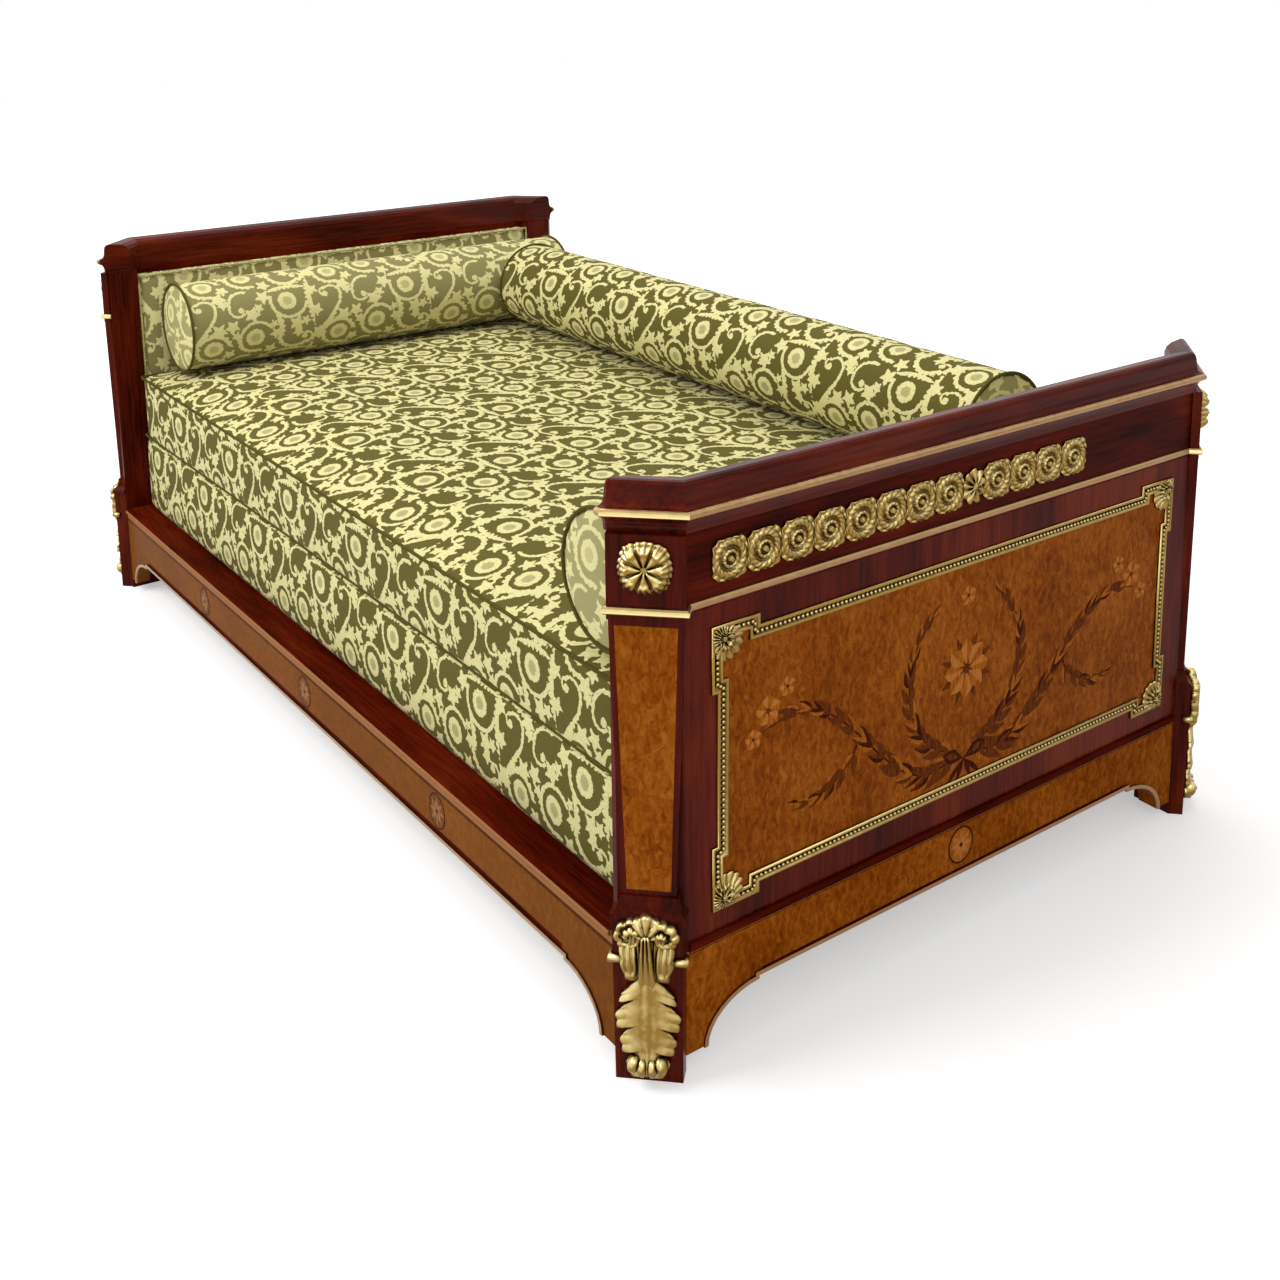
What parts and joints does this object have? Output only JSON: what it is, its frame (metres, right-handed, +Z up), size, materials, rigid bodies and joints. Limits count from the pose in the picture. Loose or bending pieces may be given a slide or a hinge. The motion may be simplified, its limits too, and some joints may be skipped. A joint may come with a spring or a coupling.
{
  "type": "recamier",
  "caption": "Louis XVI style mahogany daybed with panelled ends, canted corner posts, gilt bronze mounts, and damask box base, mattress and bolsters.",
  "frame": {"origin": "bottom centre of the whole bed, on the floor", "axes": "+X along the bed towards the foot end, +Y towards the back where the long bolster lies, +Z up"},
  "size_m": [2.1142, 1.1642, 0.782],
  "materials": {
    "mahogany": "french polished mahogany",
    "burr_veneer": "polished burr veneer",
    "gilt_bronze": "chased and gilt bronze",
    "damask": "silk damask in green and pale gold",
    "beech": "plain beech",
    "bolt_steel": "plain steel"
  },
  "bodies": {
    "frame": {"foot_cap_rail": "mahogany", "foot_cap_bead": "gilt_bronze", "foot_frieze_rail": "mahogany", "foot_frieze_bead": "gilt_bronze", "foot_frieze_mount": "gilt_bronze", "foot_panel_board": "mahogany", "foot_burr_panel": "burr_veneer", "foot_panel_frame": "gilt_bronze", "foot_apron": "burr_veneer", "foot_apron_trim": "gilt_bronze", "foot_inner_pad": "damask", "foot_front_post": "mahogany", "foot_front_burr_slip": "burr_veneer", "foot_front_rosette": "gilt_bronze", "foot_front_leaf_mount": "gilt_bronze", "foot_front_bed_bolt": "bolt_steel", "foot_back_post": "mahogany", "foot_back_burr_slip": "burr_veneer", "foot_back_rosette": "gilt_bronze", "foot_back_leaf_mount": "gilt_bronze", "foot_back_bed_bolt": "bolt_steel", "head_cap_rail": "mahogany", "head_cap_bead": "gilt_bronze", "head_frieze_rail": "mahogany", "head_frieze_bead": "gilt_bronze", "head_frieze_mount": "gilt_bronze", "head_panel_board": "mahogany", "head_burr_panel": "burr_veneer", "head_panel_frame": "gilt_bronze", "head_apron": "burr_veneer", "head_apron_trim": "gilt_bronze", "head_inner_pad": "damask", "head_front_post": "mahogany", "head_front_burr_slip": "burr_veneer", "head_front_rosette": "gilt_bronze", "head_front_leaf_mount": "gilt_bronze", "head_front_bed_bolt": "bolt_steel", "head_back_post": "mahogany", "head_back_burr_slip": "burr_veneer", "head_back_rosette": "gilt_bronze", "head_back_leaf_mount": "gilt_bronze", "head_back_bed_bolt": "bolt_steel", "front_rail": "mahogany", "front_rail_trim": "gilt_bronze", "front_slat_bearer": "beech", "back_rail": "mahogany", "back_rail_trim": "gilt_bronze", "back_slat_bearer": "beech", "slat_1": "beech", "slat_2": "beech", "slat_3": "beech", "slat_4": "beech", "slat_5": "beech", "slat_6": "beech"},
    "box_base": {"box_base": "damask"},
    "mattress": {"mattress": "damask"},
    "head_bolster": {"head_bolster": "damask"},
    "foot_bolster": {"foot_bolster": "damask"},
    "back_bolster": {"back_bolster": "damask"}
  },
  "joints": [
    {"name": "base_lifts_out", "type": "slide", "parent": "frame", "child": "box_base", "axis": [0, 0, 1], "range_m": [0, 0.62]},
    {"name": "mattress_lifts_off", "type": "slide", "parent": "box_base", "child": "mattress", "axis": [0, 0, 1], "range_m": [0, 0.46]},
    {"name": "head_bolster_lifts_off", "type": "slide", "parent": "mattress", "child": "head_bolster", "axis": [0, 0, 1], "range_m": [0, 0.35]},
    {"name": "foot_bolster_lifts_off", "type": "slide", "parent": "mattress", "child": "foot_bolster", "axis": [0, 0, 1], "range_m": [0, 0.35]},
    {"name": "back_bolster_lifts_off", "type": "slide", "parent": "mattress", "child": "back_bolster", "axis": [0, 0, 1], "range_m": [0, 0.35]}
  ]
}
